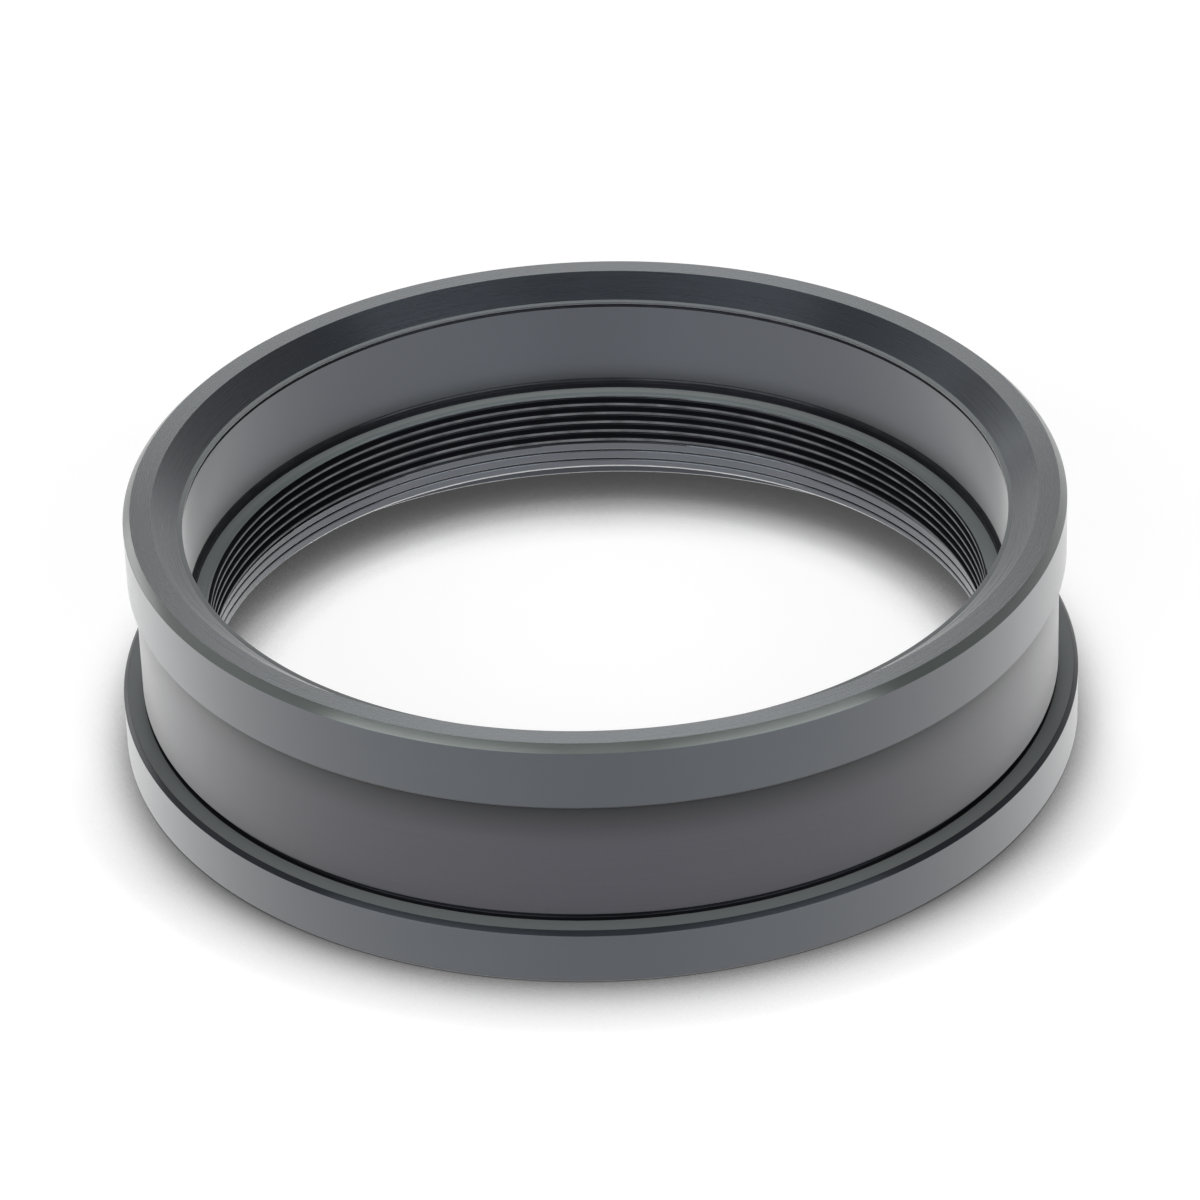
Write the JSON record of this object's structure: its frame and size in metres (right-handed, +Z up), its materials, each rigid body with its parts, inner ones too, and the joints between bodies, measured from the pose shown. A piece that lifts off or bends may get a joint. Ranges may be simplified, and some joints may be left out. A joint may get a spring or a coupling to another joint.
{
  "type": "digiscoping adapter ring",
  "caption": "One-piece turned ring with two flanges and a shallow channel between them, a stepped bore with a fine internal thread and a recess in its underside.",
  "frame": {"origin": "centre of the ring's bottom face, on its axis", "axes": "+Z up along the ring's axis, from the lower flange to the rim with the wide mouth; X and Y are free, the ring is a turned part"},
  "size_m": [0.067, 0.067, 0.018],
  "materials": {
    "anodised_ring": "satin black anodised"
  },
  "bodies": {
    "root": {"adapter_ring": "anodised_ring"}
  },
  "joints": []
}
